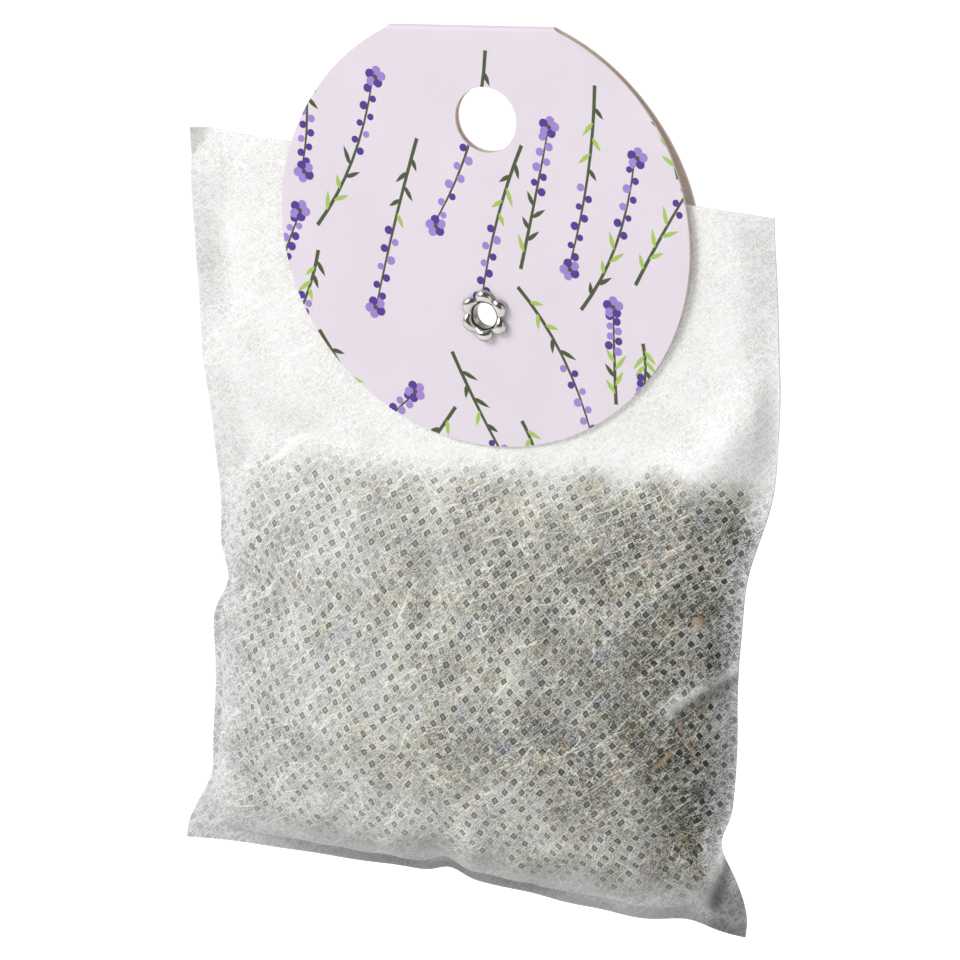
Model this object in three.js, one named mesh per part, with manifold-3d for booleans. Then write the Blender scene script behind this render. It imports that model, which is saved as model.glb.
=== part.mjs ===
// Lavender sachet: a nonwoven bag of dried lavender that hangs from a folded round card on one eyelet.
// Millimetres, +Z up, front towards -Y. The origin is the centre of the hang hole, midway between the card's leaves.

import * as THREE from 'three';
import { mergeVertices } from 'three/addons/utils/BufferGeometryUtils.js';
import Module from 'manifold-3d';

const wasm = await Module();
wasm.setup();

// Card: one strip of board, folded at the top into two round leaves
const CARD_DIAMETER = 70;
const CARD_THICKNESS = 0.5;
const FOLD_BELOW_FULL_ROUND = 2.7;
const HANG_HOLE_DIAMETER = 10.5;
const HANG_HOLE_BELOW_FOLD = 14.8;
const EYELET_ABOVE_RIM = 21.1;
const FOLD_TILT = THREE.MathUtils.degToRad(4.9);

// Eyelet: a thin tube with a flange behind the card and rolled petals in front
const EYELET_BORE = 4;
const EYELET_METAL = 0.3;
const FLANGE_DIAMETER = 8.4;
const FLANGE_BEND = 0.4;
const PETAL_COUNT = 6;
const PETAL_ROLL = 0.95;
const SLIT_HALF_ANGLE = THREE.MathUtils.degToRad(7);

// Bag: two sheets of fabric, sealed together along their edges, measured flat and empty
const BAG_WIDTH = 100;
const BAG_HEIGHT = 117;
const BAG_TOP_ABOVE_EYELET = 22.7;
const FABRIC_THICKNESS = 0.3;

// How the bag hangs: turned clockwise on the eyelet at rest, and free to swivel this far each way from square
const BAG_LEAN = THREE.MathUtils.degToRad(2.2);
const SWIVEL_LIMIT = THREE.MathUtils.degToRad(30);

// Pouch: the filled lower part of the bag, with the pull of its filling on the edges
const POUCH_DEPTH = 26;
const POUCH_BELOW_CARD = 1.1;
const SIDE_DRAW = 4.85;
const EAR_FLARE = 0.72;
const BOTTOM_DRAW = 1.2;
const CROWN_RISE = 1.1;
const CROWN_FALL = 0.6;
const SECTION_FULLNESS = 2.2;
const SECTION_EDGE = 0.8;

// Places down the bag, as shares of the drop from the eyelet to the bottom edge
const SIDE_DRAW_FROM = 0.04;
const SIDE_DRAW_TO = 0.53;
const EAR_FROM = 0.86;
const EAR_TO = 0.985;
const SHOULDER_AT = 0.235;

// How the hanging bag is pulled sideways: its top edge to the left, its shoulders to the right, its foot to the left
const TOP_SHEAR = 2.1;
const SHOULDER_SHIFT = 1;
const SHOULDER_LENGTH = 12;
const FOOT_SHIFT = 0.45;

// Lumps of the filling in the sheets: waves of several lengths and headings
const LUMP_HEIGHT = 0.8;
const LUMP_SHORTEST = 14;
const LUMP_LONGEST = 32;
const LUMP_WAVES = 16;

// Pinched side edges: side, share of the drop, how far in, half length, how far the crease runs in
const SIDE_DENTS = [
  { side: -1, at: 0.53, depth: 2.4, length: 4, crease: 9 },
  { side: 1, at: 0.843, depth: 1.6, length: 3.5, crease: 14 },
];

// Notches in the bottom edge: share of the half width, how far up, half length
const BOTTOM_DENTS = [
  { at: -0.06, depth: 1.4, length: 3 },
  { at: 0.81, depth: 1.2, length: 5 },
];

// Creases across the sheets: from and to in shares of the half width and the drop, depth (a ridge when negative),
// half width
const CREASES = [
  { from: [0.7, 0.245], to: [0.95, 0.07], depth: -4, width: 5.4 },
  { from: [-0.06, 0.985], to: [0.04, 0.85], depth: 1.6, width: 2.8 },
  { from: [0.94, 0.975], to: [0.68, 0.85], depth: 1.2, width: 2.8 },
  { from: [-0.96, 0.975], to: [-0.72, 0.85], depth: 1, width: 2.8 },
  { from: [-0.92, 0.32], to: [-0.6, 0.38], depth: 0.8, width: 2.8 },
  { from: [0.95, 0.53], to: [0.62, 0.56], depth: 0.9, width: 3.2 },
];

// Dried lavender: a lumpy bulk under the sheets, and separate bits that lie in hollows of it
const FILL_UNDER_SHEET = 1;
const FILL_LUMP = 1;
const FILL_LUMP_SHORTEST = 8;
const FILL_LUMP_LONGEST = 12;
const BIT_UNDER_SHEET = 1.3;
const BIT_COUNT = 52;
const STEM_EVERY = 4;
const BUD_LENGTH = 6;
const BUD_DIAMETER = 1.4;
const STEM_LENGTH = 7;
const STEM_DIAMETER = 1;

// Room left between pieces that lie against each other, and under the eyelet's rims
const CLEARANCE = 0.3;
const SEAT_GAP = 0.1;

// How finely round and soft shapes are divided
const CARD_SIDES = 96;
const HOLE_SIDES = 36;
const FOLD_STEPS = 6;
const EYELET_SIDES = 36;
const ROLL_STEPS = 7;
const SHEET_COLUMNS = 22;
const SHEET_ROWS = 24;
const FLAT_ROWS = 6;
const ROW_CROWDING = 1.6;
const FILL_COLUMNS = 22;
const FILL_ROWS = 16;
const BIT_SIDES = 6;

// Places worked out from the dimensions
const CARD_RADIUS = CARD_DIAMETER / 2;
const FOLD_ABOVE_CENTRE = CARD_RADIUS - FOLD_BELOW_FULL_ROUND;
const HANG_HOLE_ABOVE_CENTRE = FOLD_ABOVE_CENTRE - HANG_HOLE_BELOW_FOLD;
const EYELET_BELOW_CENTRE = CARD_RADIUS - EYELET_ABOVE_RIM;
const LEAF_GAP = 2 * FABRIC_THICKNESS + 3 * CLEARANCE;
const CARD_FACE = LEAF_GAP / 2 + CARD_THICKNESS;
const CARD_CENTRE_Z = -HANG_HOLE_ABOVE_CENTRE;
const EYELET_Z = CARD_CENTRE_Z - EYELET_BELOW_CENTRE;
const BARREL_RADIUS = EYELET_BORE / 2 + EYELET_METAL;
const BAG_TOP = BAG_TOP_ABOVE_EYELET;
const BAG_BOTTOM = BAG_TOP - BAG_HEIGHT;
const POUCH_TOP = EYELET_BELOW_CENTRE * Math.cos(SWIVEL_LIMIT) - CARD_RADIUS - POUCH_BELOW_CARD;
const POUCH_BULGE = POUCH_DEPTH / 2 - FABRIC_THICKNESS - CLEARANCE / 2;
const SWEEP_ASIDE = EYELET_BELOW_CENTRE * Math.sin(SWIVEL_LIMIT);
const SWEEP_MIDDLE = (EYELET_BELOW_CENTRE * (1 + Math.cos(SWIVEL_LIMIT))) / 2;

const { clamp, lerp, smoothstep } = THREE.MathUtils;
const GOLDEN_ANGLE = Math.PI * (3 - Math.sqrt(5));
const ACROSS_STEP = 0.7549;
const DOWN_STEP = 0.5698;

const material = (color, roughness, metalness = 0) =>
  new THREE.MeshStandardMaterial({ color, roughness, metalness });
const PRINTED_BOARD = material('#e2d8e6', 0.7);
const POLISHED_NICKEL = material('#c8c9cc', 0.18, 1);
const SPUNBOND = material('#eeeeea', 0.95);
const DRIED_HERB = material('#5f5a48', 0.95);
const DRIED_BUD = material('#6b6484', 0.9);
const DRIED_STEM = material('#a08f68', 0.9);

// One closed body from a geometry, with its faces turned outward
function solid(geometry) {
  const bare = new THREE.BufferGeometry();
  bare.setAttribute('position', geometry.getAttribute('position').clone());
  bare.setIndex(geometry.index);
  const merged = mergeVertices(bare);
  const points = merged.getAttribute('position').array;
  const corner = (i) => new THREE.Vector3().fromArray(points, 3 * i);
  const triangles = [];
  let volume = 0;
  for (let i = 0; i < merged.index.count; i += 3) {
    const [a, b, c] = merged.index.array.slice(i, i + 3);
    if (a !== b && b !== c && c !== a) {
      triangles.push([a, b, c]);
      volume += corner(a).dot(corner(b).cross(corner(c)));
    }
  }
  const outward = volume > 0 ? triangles : triangles.map(([a, b, c]) => [a, c, b]);
  return new wasm.Manifold(
    new wasm.Mesh({
      numProp: 3,
      vertProperties: new Float32Array(points),
      triVerts: new Uint32Array(outward.flat()),
    }),
  );
}

function named(name, body, look) {
  const { vertProperties, triVerts } = body.getMesh();
  const geometry = new THREE.BufferGeometry();
  geometry.setAttribute('position', new THREE.BufferAttribute(vertProperties, 3));
  geometry.setIndex(new THREE.BufferAttribute(triVerts, 1));
  geometry.computeVertexNormals();
  const mesh = new THREE.Mesh(geometry, look);
  mesh.name = name;
  return mesh;
}

// A round bar along Y, for discs and holes
function bar(radius, length, sides, z = 0) {
  return solid(new THREE.CylinderGeometry(radius, radius, length, sides).translate(0, 0, z));
}

// Moves every point of a geometry to where the rule puts it
function reshape(geometry, rule) {
  const position = geometry.getAttribute('position');
  const point = new THREE.Vector3();
  for (let i = 0; i < position.count; i += 1) {
    point.fromBufferAttribute(position, i);
    const moved = rule(point);
    position.setXYZ(i, moved.x, moved.y, moved.z);
  }
  return geometry;
}

// Card: the folded strip, cut round, with its two holes
function foldedCard() {
  const foldCentre = CARD_CENTRE_Z + FOLD_ABOVE_CENTRE - CARD_FACE;
  const bottom = CARD_CENTRE_Z - 1.2 * CARD_RADIUS;
  const section = new THREE.Shape();
  section.moveTo(-CARD_FACE, bottom);
  section.lineTo(-CARD_FACE, foldCentre);
  section.absarc(0, foldCentre, CARD_FACE, Math.PI, 0, true);
  section.lineTo(CARD_FACE, bottom);
  section.lineTo(LEAF_GAP / 2, bottom);
  section.lineTo(LEAF_GAP / 2, foldCentre);
  section.absarc(0, foldCentre, LEAF_GAP / 2, 0, Math.PI, false);
  section.lineTo(-LEAF_GAP / 2, bottom);
  section.closePath();
  const strip = new THREE.ExtrudeGeometry(section, {
    depth: CARD_DIAMETER,
    bevelEnabled: false,
    curveSegments: FOLD_STEPS,
  });
  const sectionToFrame = new THREE.Matrix4().makeBasis(
    new THREE.Vector3(0, 1, 0),
    new THREE.Vector3(0, 0, 1),
    new THREE.Vector3(1, 0, 0),
  );
  strip.translate(0, 0, -CARD_RADIUS).applyMatrix4(sectionToFrame);
  strip.translate(0, 0, -CARD_CENTRE_Z).rotateY(-FOLD_TILT).translate(0, 0, CARD_CENTRE_Z);
  const through = 4 * CARD_FACE;
  return solid(strip)
    .intersect(bar(CARD_RADIUS, through, CARD_SIDES, CARD_CENTRE_Z))
    .subtract(bar(HANG_HOLE_DIAMETER / 2, through, HOLE_SIDES))
    .subtract(bar(BARREL_RADIUS + CLEARANCE, through, HOLE_SIDES, EYELET_Z));
}

// The closed outline of a strip of metal that follows a centreline
function ribbon(centreline, thickness) {
  const side = (sign) =>
    centreline.map((point, i) => {
      const before = centreline[Math.max(0, i - 1)];
      const after = centreline[Math.min(centreline.length - 1, i + 1)];
      const along = after.clone().sub(before).normalize();
      return new THREE.Vector2(-along.y, along.x).multiplyScalar((sign * thickness) / 2).add(point);
    });
  const loop = [...side(1), ...side(-1).reverse()];
  return [...loop, loop[0].clone()];
}

// Points of an arc in the plane of radius and depth
function arc(centre, radius, from, to, steps) {
  return Array.from({ length: steps + 1 }, (_, i) => {
    const angle = lerp(from, to, i / steps);
    return new THREE.Vector2(Math.cos(angle), Math.sin(angle)).multiplyScalar(radius).add(centre);
  });
}

// Eyelet: flange, barrel and rolled lip turned about Y, the lip slit into petals with one of them on top
function eyelet() {
  const wall = BARREL_RADIUS - EYELET_METAL / 2;
  const seat = CARD_FACE + SEAT_GAP;
  const flangeDepth = seat + EYELET_METAL / 2;
  const bendCentre = new THREE.Vector2(wall + FLANGE_BEND, flangeDepth - FLANGE_BEND);
  const rollCentre = new THREE.Vector2(wall + PETAL_ROLL, -seat);
  const profile = ribbon(
    [
      new THREE.Vector2(FLANGE_DIAMETER / 2, flangeDepth),
      ...arc(bendCentre, FLANGE_BEND, Math.PI / 2, Math.PI, 3),
      ...arc(rollCentre, PETAL_ROLL, Math.PI, 2 * Math.PI, ROLL_STEPS),
    ],
    EYELET_METAL,
  );
  const reach = 2 * FLANGE_DIAMETER;
  const spread = reach * Math.tan(SLIT_HALF_ANGLE);
  const slitRoot = EYELET_BORE / 2 - EYELET_METAL;
  const wedge = new THREE.Shape([
    new THREE.Vector2(slitRoot, 0),
    new THREE.Vector2(slitRoot + reach, -spread),
    new THREE.Vector2(slitRoot + reach, spread),
  ]);
  const slit = new THREE.ExtrudeGeometry(wedge, { depth: 4 * PETAL_ROLL, bevelEnabled: false });
  slit.rotateX(Math.PI / 2).translate(0, -seat, 0);
  let body = solid(new THREE.LatheGeometry(profile, EYELET_SIDES));
  for (let i = 0; i < PETAL_COUNT; i += 1) {
    const turn = (2 * Math.PI * i) / PETAL_COUNT;
    body = body.subtract(solid(slit.clone().rotateY(turn)));
  }
  return body;
}

// How far the filled pouch stands out from flat: u from -1 to 1 across it, s from 0 at its top to 1 at its seam
function bulge(u, s) {
  const rise = (at) => at ** CROWN_RISE * (1 - at) ** CROWN_FALL;
  const crownAt = CROWN_RISE / (CROWN_RISE + CROWN_FALL);
  const section = Math.max(0, 1 - Math.abs(u) ** SECTION_FULLNESS) ** SECTION_EDGE;
  return (POUCH_BULGE * section * rise(s)) / rise(crownAt);
}

function halfWidth(z) {
  const below = z / BAG_BOTTOM;
  const flare = EAR_FLARE * smoothstep(below, EAR_FROM, EAR_TO);
  return BAG_WIDTH / 2 - SIDE_DRAW * smoothstep(below, SIDE_DRAW_FROM, SIDE_DRAW_TO) * (1 - flare);
}

// How far the hanging bag is pulled to the right at a height
function sideways(z) {
  const fromShoulder = (z - SHOULDER_AT * BAG_BOTTOM) / SHOULDER_LENGTH;
  const top = TOP_SHEAR * smoothstep(z, -0.3 * BAG_TOP, BAG_TOP);
  const foot = FOOT_SHIFT * smoothstep(z / BAG_BOTTOM, EAR_FROM, 1);
  return SHOULDER_SHIFT * Math.exp(-(fromShoulder ** 2)) - top - foot;
}

// Smooth relief from about -1 to 1: waves between two lengths, spread by steady fractions
function lumps(x, z, shortest, longest) {
  let total = 0;
  for (let i = 0; i < LUMP_WAVES; i += 1) {
    const length = lerp(shortest, longest, (i * ACROSS_STEP) % 1);
    const heading = i * GOLDEN_ANGLE;
    const run = (x * Math.cos(heading) + z * Math.sin(heading)) / length;
    total += Math.cos(2 * Math.PI * (run + ((i * DOWN_STEP) % 1)));
  }
  return total / Math.sqrt(2 * LUMP_WAVES);
}

// Distance from a stretch of line, and the share along it
function beside(x, z, start, end) {
  const along = end.clone().sub(start);
  const point = new THREE.Vector2(x, z);
  const share = clamp(point.clone().sub(start).dot(along) / along.lengthSq(), 0, 1);
  return { distance: point.distanceTo(start.clone().addScaledVector(along, share)), share };
}

// 0 where the card's leaves pass over the bag as it swivels, 1 clear of them
function clearOfCard(x, z) {
  const aside = Math.max(Math.abs(x) - SWEEP_ASIDE, 0);
  return smoothstep(Math.hypot(aside, z - SWEEP_MIDDLE), CARD_RADIUS + 1, CARD_RADIUS + 9);
}

// How far the filling's lumps, the creases and the pinched edges move a sheet out
function relief(u, x, z, out) {
  const filled = smoothstep(out, 0.3, 3);
  const free = clearOfCard(x, z) * smoothstep(1 - Math.abs(u), 0, 0.08);
  let total = filled * LUMP_HEIGHT * lumps(x, z, LUMP_SHORTEST, LUMP_LONGEST);
  for (const { from, to, depth, width } of CREASES) {
    const place = ([across, down]) => new THREE.Vector2((across * BAG_WIDTH) / 2, down * BAG_BOTTOM);
    const { distance, share } = beside(x, z, place(from), place(to));
    total -= depth * Math.exp(-((distance / width) ** 2)) * (1 - 0.6 * share) * free;
  }
  for (const { side, at, depth, length, crease } of SIDE_DENTS) {
    const along = (z - at * BAG_BOTTOM) / (0.6 * length);
    const inward = ((1 - side * u) * BAG_WIDTH) / 2;
    total -= 1.1 * depth * Math.exp(-(along ** 2)) * Math.exp(-inward / crease) * filled;
  }
  return total;
}

// How far the pinched side edges move a point in
function sideDent(u, z) {
  let total = 0;
  for (const { side, at, depth, length } of SIDE_DENTS) {
    const near = Math.exp(-(((z - at * BAG_BOTTOM) / length) ** 2));
    total -= side * depth * near * clamp(side * u, 0, 1) ** 5;
  }
  return total;
}

// A point on the inner side of the front sheet, from the eyelet. Above the pouch s runs on to -1 at the bag's top edge.
function innerPoint(u, s) {
  const below = Math.max(0, s);
  let seam = BAG_BOTTOM + BOTTOM_DRAW * (1 - u * u);
  for (const { at, depth, length } of BOTTOM_DENTS) {
    seam += depth * Math.exp(-((((u - at) * BAG_WIDTH) / 2 / length) ** 2));
  }
  const z = lerp(POUCH_TOP, s < 0 ? BAG_TOP : seam, Math.abs(s));
  const x = u * halfWidth(z);
  const full = bulge(u, below);
  const out = Math.max(0, full + relief(u, x, z, full));
  return new THREE.Vector3(x + sideDent(u, z) + sideways(z), -CLEARANCE / 2 - out, z);
}

// The front sheet's direction outward, away from the filling
function outward(u, s) {
  const step = 1e-3;
  const across = innerPoint(Math.min(1, u + step), s).sub(innerPoint(Math.max(-1, u - step), s));
  const down = innerPoint(u, Math.min(1, s + step)).sub(innerPoint(u, Math.max(-1, s - step)));
  return down.cross(across).normalize();
}

// Sheet: a slab of many cells laid along the bag's front, holed for the eyelet
function frontSheet() {
  const flatShare = FLAT_ROWS / SHEET_ROWS;
  const slab = new THREE.BoxGeometry(1, 1, 1, SHEET_COLUMNS, 1, SHEET_ROWS);
  reshape(slab, ({ x, y, z }) => {
    const u = Math.sin(Math.PI * x);
    const row = 0.5 - z;
    const below = Math.max(0, (row - flatShare) / (1 - flatShare));
    const s = row < flatShare ? row / flatShare - 1 : 1 - (1 - below) ** ROW_CROWDING;
    const offset = y < 0 ? FABRIC_THICKNESS : 0;
    return innerPoint(u, s).addScaledVector(outward(u, s), offset);
  });
  return solid(slab).subtract(bar(BARREL_RADIUS + CLEARANCE, POUCH_DEPTH, HOLE_SIDES));
}

// Bit of the filling: a bud or a stem piece along Y, with room round it where it makes a hollow
function bud(room = 0) {
  const radius = BUD_DIAMETER / 2 + room;
  const length = BUD_LENGTH + 2 * room;
  const outline = [0, 0.15, 0.45, 0.75, 1].map(
    (t) => new THREE.Vector2(radius * Math.sin(Math.PI * t), (t - 0.5) * length),
  );
  outline[0].x = 0;
  outline[outline.length - 1].x = 0;
  return solid(new THREE.LatheGeometry(outline, BIT_SIDES));
}

function stemPiece(room = 0) {
  const radius = STEM_DIAMETER / 2 + room;
  return solid(new THREE.CylinderGeometry(radius, radius, STEM_LENGTH + 2 * room, BIT_SIDES));
}

// Lays a bit just inside the front or back sheet, turned in the sheet's plane
function layInside(mesh, u, s, turn, isBack) {
  const normal = outward(u, s);
  const place = innerPoint(u, s).addScaledVector(normal, -BIT_UNDER_SHEET);
  if (isBack) {
    normal.y *= -1;
    place.y *= -1;
  }
  const along = new THREE.Vector3(1, 0, 0).projectOnPlane(normal).normalize().applyAxisAngle(normal, turn);
  const beside = new THREE.Vector3().crossVectors(along, normal);
  mesh.position.copy(place);
  mesh.quaternion.setFromRotationMatrix(new THREE.Matrix4().makeBasis(beside, along, normal));
  return mesh;
}

// Bits: spread evenly over the fuller middle of the pouch by two steady fractions, front and back in turn
function looseBits() {
  const spanAcross = 0.72;
  const spanTop = 0.34;
  const spanBottom = 0.88;
  const counts = { dried_bud: 0, stem_piece: 0 };
  return Array.from({ length: BIT_COUNT }, (_, i) => {
    const isStem = i % STEM_EVERY === STEM_EVERY - 1;
    const kind = isStem ? 'stem_piece' : 'dried_bud';
    counts[kind] += 1;
    const name = `${kind}_${String(counts[kind]).padStart(2, '0')}`;
    const shape = isStem ? stemPiece : bud;
    const mesh = named(name, shape(), isStem ? DRIED_STEM : DRIED_BUD);
    const onSide = Math.floor(i / 2) + 0.5;
    const u = spanAcross * (2 * ((onSide * ACROSS_STEP) % 1) - 1);
    const s = lerp(spanTop, spanBottom, (onSide * DOWN_STEP) % 1);
    layInside(mesh, u, s, i * GOLDEN_ANGLE, i % 2 === 1);
    mesh.updateMatrix();
    return { mesh, hollow: shape(CLEARANCE).transform(mesh.matrix.elements) };
  });
}

// Bulk of the filling: a pad stretched until it lies just inside the sheets all round, lumpy, and hollowed for the bits
function fillBulk(bits) {
  const crownAt = CROWN_RISE / (CROWN_RISE + CROWN_FALL);
  const room = (u, s) => {
    const point = innerPoint(u, s);
    const full = Math.min(-point.y, bulge(u, s) + LUMP_HEIGHT);
    const crest = clamp(lumps(point.x, point.z, FILL_LUMP_SHORTEST, FILL_LUMP_LONGEST), -1, 1);
    return full - FILL_UNDER_SHEET - (FILL_LUMP * (1 - crest)) / 2;
  };
  const reachTowards = (cos, sin) => {
    let inside = 0;
    let outside = 1;
    for (let i = 0; i < 40; i += 1) {
      const middle = (inside + outside) / 2;
      const s = clamp(crownAt + middle * sin, 0, 1);
      if (room(middle * cos, s) > 0) {
        inside = middle;
      } else {
        outside = middle;
      }
    }
    return inside;
  };
  const pad = new THREE.BoxGeometry(2, 2, 2, FILL_COLUMNS, 1, FILL_ROWS);
  const bulk = solid(
    reshape(pad, ({ x, y, z }) => {
      const across = x * Math.sqrt(1 - (z * z) / 2);
      const up = z * Math.sqrt(1 - (x * x) / 2);
      const spread = Math.hypot(across, up) || 1;
      const reach = reachTowards(across / spread, -up / spread);
      const u = reach * across;
      const s = crownAt - reach * up;
      const point = innerPoint(u, s);
      const isRim = Math.max(Math.abs(x), Math.abs(z)) > 1 - 1e-6;
      return point.setY(isRim ? 0 : Math.sign(y) * Math.max(0, room(u, s)));
    }),
  );
  return bits.reduce((body, { hollow }) => body.subtract(hollow), bulk);
}

const tag = new THREE.Group();
tag.name = 'tag';
tag.add(named('folded_card', foldedCard(), PRINTED_BOARD));
const clinched = named('eyelet', eyelet(), POLISHED_NICKEL);
clinched.position.z = EYELET_Z;
tag.add(clinched);

const bag = new THREE.Group();
bag.name = 'bag';
bag.position.z = EYELET_Z;
bag.rotation.y = BAG_LEAN;
const sheet = frontSheet();
bag.add(named('bag_front_sheet', sheet, SPUNBOND));
bag.add(named('bag_back_sheet', sheet.mirror([0, 1, 0]), SPUNBOND));
const bits = looseBits();
bag.add(named('lavender_fill', fillBulk(bits), DRIED_HERB));
bag.add(...bits.map(({ mesh }) => mesh));

const sachet = new THREE.Group();
sachet.name = 'lavender_sachet';
sachet.add(tag, bag);

export default sachet;
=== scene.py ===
import math

import bpy
import numpy as np
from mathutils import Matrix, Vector
from mathutils.geometry import delaunay_2d_cdt


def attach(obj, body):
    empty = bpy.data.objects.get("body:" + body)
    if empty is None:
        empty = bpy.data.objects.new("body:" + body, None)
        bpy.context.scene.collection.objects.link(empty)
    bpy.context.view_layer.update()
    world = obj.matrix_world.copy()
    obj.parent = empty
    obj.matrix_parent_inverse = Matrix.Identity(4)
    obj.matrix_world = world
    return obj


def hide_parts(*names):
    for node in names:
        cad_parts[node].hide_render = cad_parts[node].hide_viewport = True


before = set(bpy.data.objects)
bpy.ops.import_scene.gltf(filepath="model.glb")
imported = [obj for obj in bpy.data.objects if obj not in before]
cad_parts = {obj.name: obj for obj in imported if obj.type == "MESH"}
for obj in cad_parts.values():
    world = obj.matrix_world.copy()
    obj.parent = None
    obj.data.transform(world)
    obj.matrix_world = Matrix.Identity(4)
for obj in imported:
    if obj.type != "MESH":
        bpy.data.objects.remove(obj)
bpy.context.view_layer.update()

MM = 0.001
GOLDEN_ANGLE = math.pi * (3 - math.sqrt(5))

# Card: one strip of board, folded at the top into two round leaves that bow apart at their sides
CARD_RADIUS = 35
CARD_CENTRE_Z = -17.5
BOARD = 0.5
COAT = 0.08
LEAF_MIDDLE = 0.49
FOLD_START = 31.56
FOLD_TILT = math.radians(4.9)
HANG_HOLE_RADIUS = 5.25
EYELET_HOLE_RADIUS = 2.6
BACK_BOW = 2.2
FRONT_BOW = 0.5
BOW_RISES, BOW_FALLS = (4, 34), (66, 40)

# Print: the least gap between twigs, and their lengths with the number of tries for each
PRINT_GAP = 1.5
TWIGS = ((27, 60), (21, 90), (15, 120), (10, 120))
PAPER, DARK_PURPLE, LIGHT_PURPLE, DARK_GREEN, LIGHT_GREEN, RAW, EDGE = range(7)

# Eyelet: barrel, round flange behind, six petals rolled over in front
EYELET_Z = -31.4
BARREL_RADIUS = 2.15
METAL = 0.3
CARD_FACE = LEAF_MIDDLE + BOARD / 2
SEAT_GAP = 0.1
FLANGE_RADIUS = 4.2
FLANGE_BEND = 0.4
PETAL_COUNT = 6
PETAL_ROLL = 0.95
PETAL_HALF = 1.3
PETAL_ROOT_RADIUS = 2.1
# Colour of the painted dark reflection inside the barrel
BARREL_PAINTED_DARK = (112, 110, 104)

# Bag: two sheets of fabric sealed along their edges, from the eyelet, before the lean
BAG_WIDTH = 100
BAG_HEIGHT = 117
BAG_TOP = 22.7
BAG_BOTTOM = BAG_TOP - BAG_HEIGHT
BAG_LEAN = math.radians(2.2)
FABRIC = 0.15
PLY_GAP = 0.05
POUCH_TOP = -24.06
POUCH_BULGE = 12.55
SIDE_DRAW = 4.85
EAR_FLARE = 0.72
BOTTOM_DRAW = 1.2
CROWN_RISE = 1.1
CROWN_FALL = 0.6
SECTION_POWER, SECTION_ROUND = 2.2, 0.8
SEAL = 0.03
# How far a sheet stands out where the filling starts to fill it, and where it does in full
FILLED = (0.3, 3.0)

# Simulated swell of the sheets, as cloth cut a little fuller than it lies and pushed from inside
SWELL_LIMIT = 1.2
SWELL_STEPS = 20
SWELLING_CLOTH = {
    "quality": 6,
    "mass": 0.02,
    "tension_stiffness": 20,
    "compression_stiffness": 20,
    "shear_stiffness": 8,
    "bending_stiffness": 0.02,
    "shrink_min": -0.008,
    "use_pressure": True,
    "uniform_pressure_force": 0.4,
}

# Places down the bag, as shares of the drop from the eyelet to the bottom edge
SIDE_DRAWN = (0.04, 0.53)
EAR_FROM, EAR_TO = 0.86, 0.985
SHOULDER_AT = 0.235

# How far the hanging bag is pulled aside: top edge left, shoulders right, foot left
TOP_SHEAR = 2.1
SHOULDER_SHIFT = 1.0
SHOULDER_LENGTH = 12
FOOT_SHIFT = 0.45

# The top left corner bends over beyond a line: a point on it, the way out from it, and the bend's slope
DOG_EAR_AT = (-49.1, 22.9)
DOG_EAR_WAY = (-0.858, 0.514)
DOG_EAR_SLOPE = 0.8

# The card as it swivels: its centre's reach aside and mean height, and where the sheets may lift beyond it
SWEEP_ASIDE = 6.95
SWEEP_MIDDLE = 12.97
SWEEP_CLEAR = (CARD_RADIUS + 1, CARD_RADIUS + 9)

# Uneven forms made of waves: seed, shortest and longest wave, height
WAVES = 16
FILL_LUMPS = (0, 14, 32, 0.55)
FINE_LUMPS = (40, 4, 8, 0.28)
LONG_CURL = (160, 28, 60, 1.3)
SHORT_CURL = (180, 10, 18, 0.5)
EDGE_FLUTTER = (200, 9, 24, 0.9)
WIDE_PATCHES = (100, 10, 26, 0.12)
SMALL_PATCHES = (260, 4, 9, 0.08)
LEVEL_LUMPS = (280, 6, 20, 1.3)
MARGIN_WOBBLE = (420, 8, 20, 0.02)
CORE_SIDES = (304, 5, 18, 0.012)
FILL_TOP_LUMPS = (324, 4, 16, 0.018)
CORE_FOOT_LUMPS = (344, 6, 20, 0.008)
CORE_LUMPS = (374, 3, 9, 0.5)

# Pinched side edges: side, share of the drop, how far in, half length, how far the crease runs in
SIDE_DENTS = (
    (-1, 0.53, 2.4, 4.0, 9.0),
    (1, 0.843, 1.6, 3.5, 14.0),
)
# Notches in the bottom edge: share of the half width, how far up, half length
BOTTOM_DENTS = (
    (-0.06, 1.4, 3.0),
    (0.81, 1.2, 5.0),
)
# Creases: from and to in shares of the half width and the drop, depth (a ridge when negative), half width
CREASES = (
    ((0.7, 0.245), (0.95, 0.07), -4.0, 5.4),
    ((-0.06, 0.985), (0.04, 0.85), 1.6, 2.8),
    ((0.94, 0.975), (0.68, 0.85), 1.2, 2.8),
    ((-0.96, 0.975), (-0.72, 0.85), 1.0, 2.8),
    ((-0.92, 0.32), (-0.6, 0.38), 0.8, 2.8),
    ((0.95, 0.53), (0.62, 0.56), 0.9, 3.2),
)
# A crease's loss by its end, and where it starts at an edge
CREASE_FADE, CREASE_EDGE = 0.6, (0, 0.08)
# A pinched edge's crease, as shares of the pinch's depth and half length
PINCH_DEPTH, PINCH_LENGTH = 1.1, 0.6
# Where below the eyelet the side edges flutter
FLUTTER_FROM = (20, 34)
# Sharp folds in which the fabric lifts off the filling: from, to, height, half width
FOLDS = (
    ((0.95, 0.52), (0.72, 0.61), 0.8, 1.5),
    ((0.95, 0.79), (0.87, 0.87), 1.0, 1.4),
    ((0.87, 0.87), (0.83, 0.95), 1.0, 1.4),
)
# A fold's painted looks: highlight (shade its ridge loses), shadow in the hollow to its right, how far off,
# how narrow
FOLD_PAINTED_GLEAM = 0.75
FOLD_PAINTED_SHADOW = 0.6
FOLD_SHADOW_ASIDE = 1.5
FOLD_NARROW = 0.75
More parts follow.
